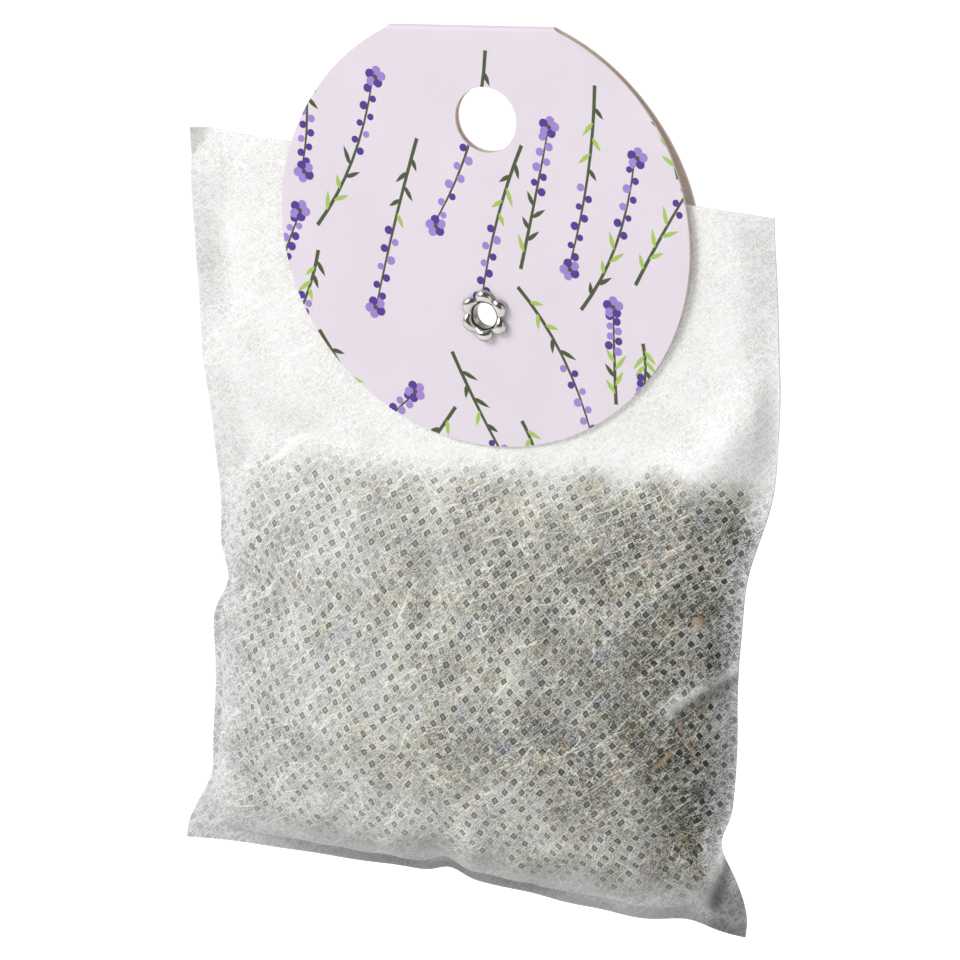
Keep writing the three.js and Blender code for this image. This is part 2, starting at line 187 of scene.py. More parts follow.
# Places where the herbs gather: share of the half width and of the drop, radius
GATHERED = (
    (0.8, 0.845, 4.0),
    (0.9, 0.58, 3.0),
    (0.84, 0.24, 5.0),
)

# How hard the filling presses on the sheets
PRESS = 0.55
PRESS_TILT = 0.0105
PRESS_LEAST = 0.28
PRESS_GATHERED = 0.45
PRESS_FOLD_EASE = 0.75
PRESS_FOOT_EASE, PRESS_FOOT_EASE_TILT = 0.3, 0.004
PRESS_EASES = (0.6, 0.95)
# Where that fades in and out: below the filling's level, to the foot, to the right and to the left
PRESS_LEVEL = (-2, 7)
PRESS_FOOT = (0.97, 0.86)
PRESS_RIGHT = (0.95, 0.89)
PRESS_LEFT = (0.95, 0.8)

# Painted shade: light that the fabric's colour loses, with the range over which each loss grows across or
# down a sheet
# Over the filling the loss also stands partly for the dark herbs seen through the web's gaps
MARGIN_PAINTED_SHADE = (0.09, 0.86, 0.92)
MIDDLE_LOSS = 0.235
MIDDLE_REGAIN = (0.5, 0.7, 0.95)
LEFT_PAINTED_SHADE = (0.16, 0.5, 0.9)
FLANK_PAINTED_SHADE = ((0.41, 0.64, 0.84), (0.12, 0.89, 0.93), (-0.18, 0.95, 1.0))
FLANK_REGAIN = (0.55, 0.76, 0.92)
FOOT_PAINTED_SHADE = ((0.33, 0.83, 0.93), (0.25, 0.965, 0.99))
FOOT_FROM_LEFT = (-1.3, -0.3)
EAR_PAINTED_SHADE, EAR_DARK = 0.4, (0.84, 0.92)
# How far below the filling's level the losses over it come in, and those on its right flank
LOW_IN_BAG, LOW_ON_FLANK = (-1, 16), (0, 10)

# Filling: the level of its top, lower on the back and higher to the right, its half width, and its core
FILL_LEVEL = -23.5
BACK_LEVEL_DROP = 2.4
FILL_TILT = 0.09
FILL_HALF = 45
CORE_DEPTH = 1.7
CORE_TOP_DROP = 3.0
CORE_REACH = 0.94
CORE_FOOT = 0.962
CORE_LUMP_LIMIT = 0.3
CORE_HEIGHT = 66
THINNEST = 0.03

# Loose bits: how many, how far they reach across and down, and how far they sink at random
FRONT_BITS = 1900
BACK_BITS = 1300
BITS_REACH = 0.925
BITS_TOP, BITS_FOOT = -0.12, 0.935
BITS_SINK = 0.025
# Where their points may lie: across, down, and how far clear of the sheet
BITS_EDGE, BITS_SEAM, BITS_CLEAR = 0.95, 0.965, 0.08
# Bud, stem piece and flake: shares, lengths and half widths
BIT_SHARES = (0.6, 0.16, 0.24)
BIT_LENGTHS = ((3.8, 6.0), (3, 8), (1.6, 3.6))
BIT_HALVES = ((0.7, 1.05), (0.3, 0.5), (0.6, 1.3))
BUD_FLATNESS = 0.85
FLAKE_HALF_THICK = 0.14

# Fabric: how far apart the two sheets' patterns are taken, and the bond points' lattice
PATTERN_APART = 40.0
BOND_PITCH = 2.22
BOND_HALF = 0.2
# Strands of the web: heading in degrees, waves per mm along and across
STRANDS = (
    (38, 0.9, 4.6),
    (70, 1.0, 4.2),
    (-30, 1.1, 4.4),
)
# Long fibres on top: heading in degrees, waves per mm along and across, and width
LONG_FIBRES = (
    (33, 0.05, 0.45, 0.011),
    (24, 0.07, 0.6, 0.014),
    (52, 0.06, 0.5, 0.012),
    (-38, 0.06, 0.4, 0.009),
)
# What the herbs under it lend the fabric: blue-grey, white, straw, olive and pink, over the range of a noise
STAINS = (
    (0.3, (238, 241, 243)),
    (0.4, (251, 251, 246)),
    (0.5, (248, 247, 236)),
    (0.6, (252, 251, 243)),
    (0.7, (245, 245, 227)),
    (0.8, (252, 238, 230)),
)
# Dried lavender from dark buds over violet ones to stems and pale flakes
HERB_COLOURS = (
    (0.0, (46, 43, 27)),
    (0.2, (66, 64, 43)),
    (0.4, (86, 85, 60)),
    (0.52, (78, 83, 86)),
    (0.6, (88, 82, 104)),
    (0.7, (112, 90, 62)),
    (0.8, (156, 132, 80)),
    (0.9, (176, 140, 116)),
    (1.0, (228, 212, 150)),
)


def smoothstep(x, low, high):
    t = np.clip((x - low) / (high - low), 0, 1)
    return t * t * (3 - 2 * t)


def growing(x, size, low, high):
    """A number that grows from 0 to its size over a range."""
    return size * smoothstep(x, low, high)


def lumps(x, z, form, shift=0):
    """A smooth uneven form: waves between two lengths, spread by steady fractions from a seed on."""
    seed, shortest, longest, height = form
    total = np.zeros(np.broadcast(x, z).shape)
    for i in range(seed + shift, seed + shift + WAVES):
        length = shortest + (longest - shortest) * (i * 0.7549 % 1)
        heading = i * GOLDEN_ANGLE
        phase = 2 * np.pi * (i * 0.5698 % 1)
        total += np.cos(2 * np.pi * (x * np.cos(heading) + z * np.sin(heading)) / length + phase)
    return height * total / math.sqrt(2 * WAVES)


# Meshes


def make_object(name, points, faces, materials, looks=None, sharp=None, vectors=None, floats=None):
    """A mesh object from points in mm in the row frame, smooth but for edges sharper than an angle."""
    mesh = bpy.data.meshes.new(name)
    mesh.from_pydata(np.asarray(points) * MM, [], faces)
    for material in materials:
        mesh.materials.append(material)
    if looks is not None:
        mesh.polygons.foreach_set("material_index", np.asarray(looks, dtype=np.int32))
    for key, values in (vectors or {}).items():
        mesh.attributes.new(key, "FLOAT_VECTOR", "POINT").data.foreach_set("vector", np.ravel(values))
    for key, values in (floats or {}).items():
        mesh.attributes.new(key, "FLOAT", "POINT").data.foreach_set("value", np.ravel(values))
    mesh.shade_smooth()
    if sharp is not None:
        mesh.set_sharp_from_angle(angle=sharp)
    mesh.validate()
    mesh.update()
    obj = bpy.data.objects.new(name, mesh)
    bpy.context.scene.collection.objects.link(obj)
    return obj


def grid_faces(rows, columns):
    """Quads of a grid of points, row by row."""
    corner = np.arange(rows * columns).reshape(rows, columns)
    quads = np.stack([corner[:-1, :-1], corner[1:, :-1], corner[1:, 1:], corner[:-1, 1:]], axis=-1)
    return quads.reshape(-1, 4)


def closed_shell(faces, layers):
    """One closed body from an open surface in layers from outside to inside, walled along every free edge.

    Returns points, faces, for each face 0 outside, 1 inside or 2 and up for the bands of the wall, and for
    each point its place in the layers."""
    faces = np.asarray(faces).tolist()
    edges = [(face[i - 1], face[i]) for face in faces for i in range(len(face))]
    known = set(edges)
    free = [(a, b) for a, b in edges if (b, a) not in known]
    step = len(layers[0])
    inside = step * (len(layers) - 1)
    shell = faces + [[inside + i for i in reversed(face)] for face in faces]
    tags = [0] * len(faces) + [1] * len(faces)
    for start in range(0, inside, step):
        shell += [(start + b, start + a, start + step + a, start + step + b) for a, b in free]
        tags += [2 + start // step] * len(free)
    used = sorted({i for face in shell for i in face})
    place = dict(zip(used, range(len(used))))
    return np.vstack(layers)[used], [[place[i] for i in face] for face in shell], np.array(tags), used


def surface_normals(points):
    """Unit normals of a grid of points, by its rows and columns."""
    normal = np.cross(np.gradient(points, axis=0), np.gradient(points, axis=1))
    return normal / np.linalg.norm(normal, axis=-1, keepdims=True)


# Materials


class Nodes:
    """A material's or a world's nodes, with short ways to add to them. Inputs take numbers or outputs."""

    def __init__(self, owner):
        owner.use_nodes = True
        self.tree = owner.node_tree

    def put(self, value, socket):
        if isinstance(value, bpy.types.NodeSocket):
            self.tree.links.new(value, socket)
        else:
            socket.default_value = value

    def new(self, kind, *values, **settings):
        """A new node with its settings and its first inputs."""
        node = self.tree.nodes.new("ShaderNode" + kind)
        for key, setting in settings.items():
            setattr(node, key, setting)
        for value, socket in zip(values, node.inputs):
            self.put(value, socket)
        return node

    def surface(self, inputs):
        shader = self.tree.nodes["Principled BSDF"]
        for key, value in inputs.items():
            self.put(value, shader.inputs[key])

    def math(self, operation, *values):
        return self.new("Math", *values, operation=operation).outputs[0]

    def times_plus(self, value, factor, more):
        return self.math("MULTIPLY_ADD", value, factor, more)

    def off_level(self, value, level):
        """How far a number is from a level."""
        return self.math("ABSOLUTE", self.math("SUBTRACT", value, level))

    def remap(self, value, low, high, to_low=0.0, to_high=1.0):
        return self.new("MapRange", value, low, high, to_low, to_high).outputs[0]

    def vector(self, operation, *values, output=0):
        return self.new("VectorMath", *values, operation=operation).outputs[output]

    def noise(self, vector, scale, detail=2.0, roughness=0.5, output=0):
        return self.new("TexNoise", vector, 0.0, scale, detail, roughness).outputs[output]

    def placed(self, vector, rotation, scale):
        """A pattern's coordinates, turned in the sheet's plane and then scaled."""
        turned_place = self.new("Mapping", vector, vector_type="POINT")
        turned_place.inputs["Rotation"].default_value = (0, 0, rotation)
        return self.vector("MULTIPLY", turned_place.outputs[0], scale)

    def object_place(self):
        return self.new("TexCoord").outputs["Object"]

    def attribute(self, name, output="Fac"):
        return self.new("Attribute", attribute_name=name).outputs[output]

    def ramp(self, value, stops):
        """Colours over a number's range, each 0 to 255 on screen, or a share of that."""
        node = self.new("ValToRGB", value)
        elements = node.color_ramp.elements
        while len(elements) < len(stops):
            elements.new(0.5)
        for element, (position, colour, *share) in zip(elements, stops):
            element.position = position
            element.color = linear(*colour, *share)
        return node.outputs[0]

    def blend(self, share, first, second):
        """One number fading into another."""
        node = self.new("Mix", share)
        self.put(first, node.inputs[2])
        self.put(second, node.inputs[3])
        return node.outputs[0]

    def coloured(self, mode, share, first, second):
        """Two colours combined."""
        node = self.new("Mix", share, data_type="RGBA", blend_type=mode)
        self.put(first, node.inputs[6])
        self.put(second, node.inputs[7])
        return node.outputs[2]

    def bump(self, height, strength, distance):
        node = self.new("Bump")
        for key, value in (("Strength", strength), ("Distance", distance), ("Height", height)):
            self.put(value, node.inputs[key])
        self.surface({"Normal": node.outputs[0]})

    def grained(self, colour, grain, rough, strength, distance):
        """A surface whose roughness and relief follow its grain."""
        self.surface({"Base Color": colour, "Roughness": self.remap(grain, 0.3, 0.7, *rough)})
        self.bump(grain, strength, distance)


def new_material(name):
    material = bpy.data.materials.new(name)
    return material, Nodes(material)


def linear(red, green, blue, share=1):
    """A colour given as 0 to 255 on screen, or a share of it, as light."""
    parts = np.array([red, green, blue]) / 255
    light = np.where(parts <= 0.04045, parts / 12.92, ((parts + 0.055) / 1.055) ** 2.4)
    return (*(share * light), 1)


# Fabric: a web of white fibres, thin and clear at the square bond points


def bond_points(nodes, cloth):
    """The bond points: distance from the nearest one's middle, in pitches, and a chance number for each."""
    lattice = nodes.placed(cloth, math.radians(45), (1 / BOND_PITCH, 1 / BOND_PITCH, 1))
    parts = nodes.new("SeparateXYZ", lattice).outputs
    sides = [nodes.off_level(nodes.math("FRACT", parts[axis]), 0.5) for axis in (0, 1)]
    cells = [nodes.math("FLOOR", parts[axis]) for axis in (0, 1)]
    cell = nodes.new("CombineXYZ", *cells, parts[2]).outputs[0]
    return nodes.math("MAXIMUM", *sides), nodes.new("TexWhiteNoise", cell).outputs[0]


def fibre_web(nodes, cloth):
    """Fibres lying in several directions, 0 between them to 1 on top of them."""
    web = 0.0
    for turn, along, across in STRANDS:
        place = nodes.placed(cloth, math.radians(-turn), (along, across, 1))
        web = nodes.math("MAXIMUM", web, nodes.noise(place, 1.0, 1.0, 0.5))
    return nodes.remap(web, 0.46, 0.68)


def long_fibres(nodes, cloth):
    """A few long fibres on top of the web, each along one level of a stretched noise."""
    fibres = 0.0
    for turn, along, across, width in LONG_FIBRES:
        place = nodes.placed(cloth, math.radians(-turn), (along, across, 1))
        off_line = nodes.off_level(nodes.noise(place, 1.0, 1.0, 0.4), 0.6)
        fibres = nodes.math("MAXIMUM", fibres, nodes.remap(off_line, width, 0.0))
    return fibres


def fabric_cover(nodes, web, fused, outline, pressed):
    """How much of what lies behind is covered: a close web where nothing does, and one that is more open the
    harder the filling presses on it. A sheet counts once, by its face towards the ray."""
    hard = nodes.remap(pressed, 0.3, 1.0)
    slack_web = nodes.times_plus(web, 0.5, 0.48)
    open_web = nodes.times_plus(web, 1.2, -0.21)
    film = nodes.times_plus(outline, -0.26, nodes.remap(hard, 0.0, 1.0, 0.54, 0.22))
    over_fill = nodes.blend(fused, nodes.blend(hard, slack_web, open_web), film)
    loose = nodes.remap(web, 0.0, 0.8, 0.8, 0.97)
    cover = nodes.blend(nodes.remap(pressed, 0.05, 0.3), loose, over_fill)
    cover = nodes.remap(cover, 0.0, 1.0, 0.01, 0.98)
    facing = nodes.math("SUBTRACT", 1.0, nodes.new("NewGeometry").outputs["Backfacing"])
    return nodes.math("MULTIPLY", cover, facing)


def fabric_colour(nodes, cloth, web, fused, pressed):
    """White, greyer between the fibres and where painted shade takes light, and faintly stained by the herbs.
    """
    light = nodes.ramp(web, [(0.05, (226, 226, 224)), (0.5, (255, 255, 253))])
    stain = nodes.ramp(nodes.noise(cloth, 0.24, 2.0, 0.5), STAINS)
    stained = nodes.coloured("MULTIPLY", nodes.remap(pressed, 0.15, 0.5), light, stain)
    # Painted shade from the sheet's shade and light attributes, taken most by the web's gaps
    lost = nodes.math("SUBTRACT", 1.0, nodes.attribute("shade"))
    gap = nodes.blend(fused, nodes.remap(web, 0.05, 0.65, 1.7, 0.5), 1.3)
    marks = nodes.times_plus(fused, -0.06, 1.0)
    grey = nodes.math("SUBTRACT", marks, nodes.math("MULTIPLY", lost, gap))
    grey = nodes.math("MULTIPLY", grey, nodes.attribute("light"))
    return nodes.coloured("MULTIPLY", 1.0, stained, grey)


def fabric_material():
    material, nodes = new_material("spunbond")
    material.use_backface_culling = True
    cloth = nodes.attribute("cloth", "Vector")
    swayed = nodes.vector("MULTIPLY_ADD", nodes.noise(cloth, 0.06, 1.0, 0.5, 1), (1.6, 1.6, 0), cloth)
    speckle = nodes.noise(cloth, 4.4, 2.0, 0.65)
    cloud = nodes.noise(cloth, 0.13, 3.0, 0.55)
    grit = nodes.noise(cloth, 5.6, 3.0, 0.7)
    distance, chance = bond_points(nodes, swayed)
    ragged = nodes.times_plus(speckle, 0.05, nodes.math("SUBTRACT", distance, 0.025))
    clear = nodes.remap(chance, 0.0, 0.5, 0.3, 1.0)
    fused = nodes.math("MULTIPLY", nodes.remap(ragged, BOND_HALF + 0.02, BOND_HALF - 0.01), clear)
    outline = nodes.remap(nodes.off_level(ragged, BOND_HALF - 0.04), 0.06, 0.02)
    rim = nodes.remap(nodes.off_level(ragged, BOND_HALF + 0.05), 0.045, 0.0)
    fibres = fibre_web(nodes, swayed)
    layers = (
        (fibres, 0.5),
        (nodes.remap(grit, 0.52, 0.4), -0.34),
        (nodes.remap(grit, 0.55, 0.68), 0.25),
        (nodes.remap(cloud, 0.3, 0.7), 0.28),
        (nodes.math("MULTIPLY", rim, clear), 0.22),
        (long_fibres(nodes, swayed), 0.42),
    )
    web = 0.13
    for layer, weight in layers:
        web = nodes.times_plus(layer, weight, web)
    web = nodes.math("MAXIMUM", web, 0.0)

    pressed = nodes.attribute("pressed")
    nodes.surface({
        "Alpha": fabric_cover(nodes, web, fused, outline, pressed),
        "Base Color": fabric_colour(nodes, cloth, web, fused, pressed),
        "Roughness": nodes.remap(fused, 0.0, 1.0, 0.88, 0.5),
        "Sheen Weight": 0.08,
    })
    relief = nodes.times_plus(fused, -0.8, nodes.math("MULTIPLY", fibres, 0.5))
    nodes.bump(nodes.times_plus(speckle, 0.6, relief), 0.3, 0.0001)
    return material


# Other materials


def herb_material(name, shade):
    """Buds, stems and flakes: one colour each by its tint, mottled along it."""
    material, nodes = new_material(name)
    mottle = nodes.noise(nodes.object_place(), 900.0, 3.0, 0.6)
    tint = nodes.math("SUBTRACT", nodes.attribute("tint"), 0.06)
    stops = [(position, colour, shade) for position, colour in HERB_COLOURS]
    colour = nodes.ramp(nodes.times_plus(mottle, 0.12, tint), stops)
    nodes.grained(colour, mottle, (0.75, 0.95), 0.4, 0.0003)
    return material


def print_material(name, colour, strength=0.06):
    """Ink or coating on board: a little uneven, with the board's grain under it."""
    material, nodes = new_material(name)
    place = nodes.object_place()
    grain = nodes.noise(place, 2600.0, 2.0, 0.6)
    uneven = nodes.math("MULTIPLY", nodes.noise(place, 60.0, 4.0, 0.6), 0.6)
    stops = [(0.35, colour, 1 - strength), (0.65, colour, 1 + strength)]
    inked = nodes.ramp(nodes.times_plus(grain, 0.4, uneven), stops)
    nodes.grained(inked, grain, (0.5, 0.62), 0.15, 0.00005)
    return material


def board_material():
    """Raw board, on the inside and along the cut edges, with its fibres."""
    material, nodes = new_material("raw_board")
    fibre = nodes.noise(nodes.placed(nodes.object_place(), 0.3, (400, 2200, 2200)), 1.0, 3.0, 0.6)
    colour = nodes.ramp(fibre, [(0.3, (212, 192, 178)), (0.7, (230, 214, 202))])
    nodes.grained(colour, fibre, (0.85, 0.95), 0.3, 0.0001)
    return material


def nickel_material():
    """Polished outside; inside the barrel a painted dark reflection darkens its colour."""
    material, nodes = new_material("polished_nickel")
    place = nodes.object_place()
    scuff = nodes.noise(place, 900.0, 4.0, 0.65)
    polished = nodes.ramp(scuff, [(0.3, (176, 174, 168)), (0.7, (196, 194, 188))])
    # Inside the barrel the colour is painted darker, as a painted reflection
    from_axis = nodes.vector("MULTIPLY_ADD", place, (1, 0, 1), (0, 0, -EYELET_Z * MM))
    radius = nodes.vector("LENGTH", from_axis, output="Value")
    inside = nodes.remap(radius, (BARREL_RADIUS + METAL) * MM, BARREL_RADIUS * MM)
    nodes.surface({
        "Base Color": nodes.coloured("MIX", inside, polished, linear(*BARREL_PAINTED_DARK)),
        "Metallic": 1.0,
        "Roughness": nodes.remap(scuff, 0.35, 0.7, 0.12, 0.26),
    })
    nodes.bump(scuff, 0.12, 0.0001)
    return material


# Bag shape, in mm from the eyelet before the lean


def half_width(z):
    below = z / BAG_BOTTOM
    flare = EAR_FLARE * smoothstep(below, EAR_FROM, EAR_TO)
    return BAG_WIDTH / 2 - SIDE_DRAW * smoothstep(below, *SIDE_DRAWN) * (1 - flare)


def sideways(z):
    """How far the hanging bag is pulled to the right at a height."""
    shoulder = SHOULDER_SHIFT * np.exp(-(((z - SHOULDER_AT * BAG_BOTTOM) / SHOULDER_LENGTH) ** 2))
    top = TOP_SHEAR * smoothstep(z, -0.3 * BAG_TOP, BAG_TOP)
    return shoulder - top - FOOT_SHIFT * smoothstep(z / BAG_BOTTOM, EAR_FROM, 1)


def crown_share(at):
    """The pouch's profile from its top to its seam, before it is scaled."""
    return at**CROWN_RISE * (1 - at) ** CROWN_FALL


def bulge(u, s):
    """How far the filled pouch stands out: u from -1 to 1 across, s from 0 at its top to 1 at its seam."""
    crown = CROWN_RISE / (CROWN_RISE + CROWN_FALL)
    inside = np.clip(s / (1 - SEAL), 0, 1)
    section = np.clip(1 - (np.abs(u) / (1 - SEAL)) ** SECTION_POWER, 0, 1) ** SECTION_ROUND
    return POUCH_BULGE * section * crown_share(inside) / crown_share(crown)


def bag_point(u, s):
    """A point between the sheets and how far each stands out there. Above the pouch s runs from 0 to -1."""
    seam = BAG_BOTTOM + BOTTOM_DRAW * (1 - u * u)
    for at, depth, length in BOTTOM_DENTS:
        seam = seam + depth * np.exp(-(((u - at) * BAG_WIDTH / 2 / length) ** 2))
    z = POUCH_TOP + (np.where(s < 0, BAG_TOP, seam) - POUCH_TOP) * np.abs(s)
    return u * half_width(z), z, bulge(u, np.maximum(s, 0))


def card_sweep(x, z):
    """0 where the card's leaves pass over the bag as it swivels, 1 clear of them."""
    reach = np.hypot(np.maximum(np.abs(x) - SWEEP_ASIDE, 0), z - SWEEP_MIDDLE)
    return smoothstep(reach, *SWEEP_CLEAR)


def along_line(x, z, start, end, width, fade=0.0):
    """1 on a line given in shares of the half width and the drop, less beside it and towards its end."""
    (ax, az), (bx, bz) = np.array([start, end]) * (BAG_WIDTH / 2, BAG_BOTTOM)
    way_x, way_z = bx - ax, bz - az
    t = np.clip(((x - ax) * way_x + (z - az) * way_z) / (way_x**2 + way_z**2), 0, 1)
    distance = np.hypot(x - ax - t * way_x, z - az - t * way_z)
    return np.exp(-((distance / width) ** 2)) * (1 - fade * t)


def side_dent(u, z):
    """How far the pinched side edges move a point to the right."""
    dent = np.zeros(np.shape(z))
    for edge, at, depth, length, _ in SIDE_DENTS:
        pinch = np.exp(-(((z - at * BAG_BOTTOM) / length) ** 2))
        dent -= edge * depth * pinch * np.clip(edge * u, 0, 1) ** 5
    return dent


def sheet_relief(u, x, z, out, side):
    """How far the filling's lumps, the creases, the folds and the pinched side edges move a sheet out."""
    filled = smoothstep(out, *FILLED)
    relief = filled * (lumps(x, z, FILL_LUMPS) + lumps(x, z, FINE_LUMPS, 20 * side))
    held = card_sweep(x, z) * smoothstep(1 - np.abs(u), *CREASE_EDGE)
    for start, end, depth, width in CREASES:
        relief -= depth * along_line(x, z, start, end, width, CREASE_FADE) * held
    for start, end, height, width in FOLDS:
        relief += height * along_line(x, z, start, end, width) * filled
    for edge, at, depth, length, crease in SIDE_DENTS:
        along = (z - at * BAG_BOTTOM) / (PINCH_LENGTH * length)
        inward = (1 - edge * u) * BAG_WIDTH / 2
        relief -= PINCH_DEPTH * depth * np.exp(-(along**2) - inward / crease) * filled
    return relief


def dog_ear(x, z):
    """How far the top left corner bends over to the front."""
    (at_x, at_z), (way_x, way_z) = DOG_EAR_AT, DOG_EAR_WAY
    return DOG_EAR_SLOPE * np.maximum(way_z * (z - at_z) + way_x * (x - at_x - TOP_SHEAR), 0)


def sheet_place(u, s, side):
    """The front (side -1) or back (side 1) sheet in bag coordinates: x, z, the sheets' shared middle, and how
    far it stands out from that."""
    x, z, out = bag_point(u, s)
    clear = card_sweep(x, z) * (1 - smoothstep(out, *FILLED))
    curl = clear * (lumps(x, z, LONG_CURL) + lumps(x, z, SHORT_CURL))
    flutter = np.abs(u) ** 6 * lumps(x * 0, z, EDGE_FLUTTER) * smoothstep(-z, *FLUTTER_FROM)
    middle = curl + flutter - dog_ear(x, z)
    out = PLY_GAP + np.maximum(out + sheet_relief(u, x, z, out, side), 0)
    return x + side_dent(u, z) + sideways(z), z, middle, out


def sheet_point(u, s, side):
    """A point on a sheet's inner side."""
    x, z, middle, out = sheet_place(u, s, side)
    return np.stack([x, middle + side * out, z], axis=-1)


def on_sheet(x, z):
    """The (u, s) of a place in the bag, found in a few rounds because the pinched edges depend on u."""
    u = np.zeros(np.shape(x))
    for _ in range(4):
        u = np.clip((x - sideways(z) - side_dent(u, z)) / half_width(z), -0.99, 0.99)
    below = POUCH_TOP - z
    flat = below / (BAG_TOP - POUCH_TOP)
    pouch = below / (POUCH_TOP - BAG_BOTTOM - BOTTOM_DRAW * (1 - u * u))
    return u, np.clip(np.where(below < 0, flat, pouch), -0.99, 0.99)


def outward_normals(points, side):
    """Unit normals of a sheet's grid, away from the other sheet."""
    normal = surface_normals(points)
    return normal * np.sign(np.sum(normal[..., 1] * side))


def to_frame(points):
    """From bag coordinates to the row frame: leaned, and hung at the eyelet."""
    cos, sin = math.cos(BAG_LEAN), math.sin(BAG_LEAN)
    x, y, z = np.moveaxis(np.asarray(points), -1, 0)
    return np.stack([x * cos + z * sin, y, z * cos - x * sin + EYELET_Z], axis=-1)


# Looks of the sheets, point by point, with their painted shade


def pressed_by_fill(u, s, inner, side):
    """How hard the filling presses on a sheet, 0 to 1: harder on the right, in patches, and not beyond it."""
    x, _, z = np.moveaxis(inner, -1, 0)
    below = fill_level(x) - z + lumps(x, x * 0, LEVEL_LUMPS) - BACK_LEVEL_DROP * (side > 0)
    reached = smoothstep(below, *PRESS_LEVEL) * smoothstep(s, *PRESS_FOOT)
    reached *= smoothstep(u, *PRESS_RIGHT) * smoothstep(-u, *PRESS_LEFT)
    patches = lumps(x, z, WIDE_PATCHES, 20 * side) + lumps(x, z, SMALL_PATCHES, 20 * side)
    eased = (PRESS_FOOT_EASE + PRESS_FOOT_EASE_TILT * x) * smoothstep(s, *PRESS_EASES)
    push = PRESS + PRESS_TILT * x + patches - eased
    for across, drop, radius in GATHERED:
        push += PRESS_GATHERED * along_line(x, z, (across, drop), (across, drop + 0.01), radius)
    push = np.clip(push, PRESS_LEAST, 1)
    for start, end, _, width in FOLDS:
        push *= 1 - PRESS_FOLD_EASE * along_line(x, z, start, end, width)
    return push * reached


def sheet_painted_shade(u, s, inner):
    """Painted shade, most in the web's gaps: greyer margins, darker over the filling and flanks; painted
    gleam on ridges.
    """
    x, _, z = np.moveaxis(inner, -1, 0)
    low = smoothstep(fill_level(x) - z, *LOW_IN_BAG)
    margin = growing(np.abs(u) + lumps(x, z, MARGIN_WOBBLE), *MARGIN_PAINTED_SHADE)
    middle = MIDDLE_LOSS * low * (1 - growing(s, *MIDDLE_REGAIN))
    left = low * growing(-u, *LEFT_PAINTED_SHADE)
    flank = sum(growing(u, *loss) for loss in FLANK_PAINTED_SHADE) * (1 - growing(s, *FLANK_REGAIN))
    right = flank * smoothstep(fill_level(x) - z, *LOW_ON_FLANK)
    bright = (1 - np.maximum(margin, left)) * (1 - middle) * (1 - right)
    for start, end, _, width in FOLDS:
        ridge = along_line(x, z, start, end, FOLD_NARROW * width)
        bright += FOLD_PAINTED_GLEAM * ridge * (1 - bright)
    return bright


def sheet_painted_shadow(u, s, inner):
    """Painted shade for the light falling on a sheet: less at its foot, on its right ear, painted shadow
    beside sharp folds.
    """
    x, _, z = np.moveaxis(inner, -1, 0)
    foot = sum(growing(s, *loss) for loss in FOOT_PAINTED_SHADE) * smoothstep(u, *FOOT_FROM_LEFT)
    ear = EAR_PAINTED_SHADE * smoothstep(u, *EAR_DARK) * smoothstep(s, *EAR_DARK)
    light = (1 - foot) * (1 - ear)
    for start, end, _, width in FOLDS:
        hollow = along_line(x - FOLD_SHADOW_ASIDE, z, start, end, FOLD_NARROW * width)
        light *= 1 - FOLD_PAINTED_SHADOW * hollow
    return light


# The sheets


def arc_lengths(points, axis):
    """Length along a grid's rows or columns from their start, as a share of the whole."""
    steps = np.linalg.norm(np.diff(points, axis=axis), axis=-1)
    pad = [(0, 0), (0, 0)]
    pad[axis] = (1, 0)
    run = np.cumsum(np.pad(steps, pad), axis=axis)
    return run / np.take(run, [-1], axis=axis)


def sheet_faces(shape, side):
    """Quads of a sheet's grid, facing out."""
    faces = grid_faces(*shape)
    return faces[:, ::-1] if side > 0 else faces


def with_midpoints(rows):
    full = np.repeat(rows, 2, axis=0)[:-1]
    full[1::2] = (rows[:-1] + rows[1:]) / 2
    return full


def simulated_swell(inner, u, s, side):
    """How far each point of a sheet moves out when its fabric, cut a little full, is blown against its seams.

    Every second row and column is simulated as cloth that is held along the seams and above the pouch."""
    coarse = inner[::2, ::2]
    faces = sheet_faces(coarse.shape[:2], side)
    cloth = make_object("swelling_cloth", coarse.reshape(-1, 3), faces.tolist(), [])
    held = (np.abs(u) > 1 - SEAL) | (s > 1 - SEAL) | (s < 0.05)
    pins = cloth.vertex_groups.new(name="held")
    pins.add(np.flatnonzero(held[::2, ::2].ravel()).tolist(), 1.0, "REPLACE")
    settings = cloth.modifiers.new("swell", "CLOTH").settings
    for key, value in SWELLING_CLOTH.items():
        setattr(settings, key, value)
    settings.vertex_group_mass = pins.name
    settings.effector_weights.gravity = 0
    for step in range(SWELL_STEPS):
        bpy.context.scene.frame_set(step + 1)
    evaluated = cloth.evaluated_get(bpy.context.evaluated_depsgraph_get())
    moved = np.empty(coarse.size)
    evaluated.data.vertices.foreach_get("co", moved)
    bpy.context.scene.frame_set(1)
    bpy.data.objects.remove(cloth)
    moved = moved.reshape(coarse.shape) / MM - coarse
    swell = np.clip(np.sum(moved * outward_normals(coarse, side), axis=-1), 0, SWELL_LIMIT)
    return with_midpoints(with_midpoints(swell.T).T)


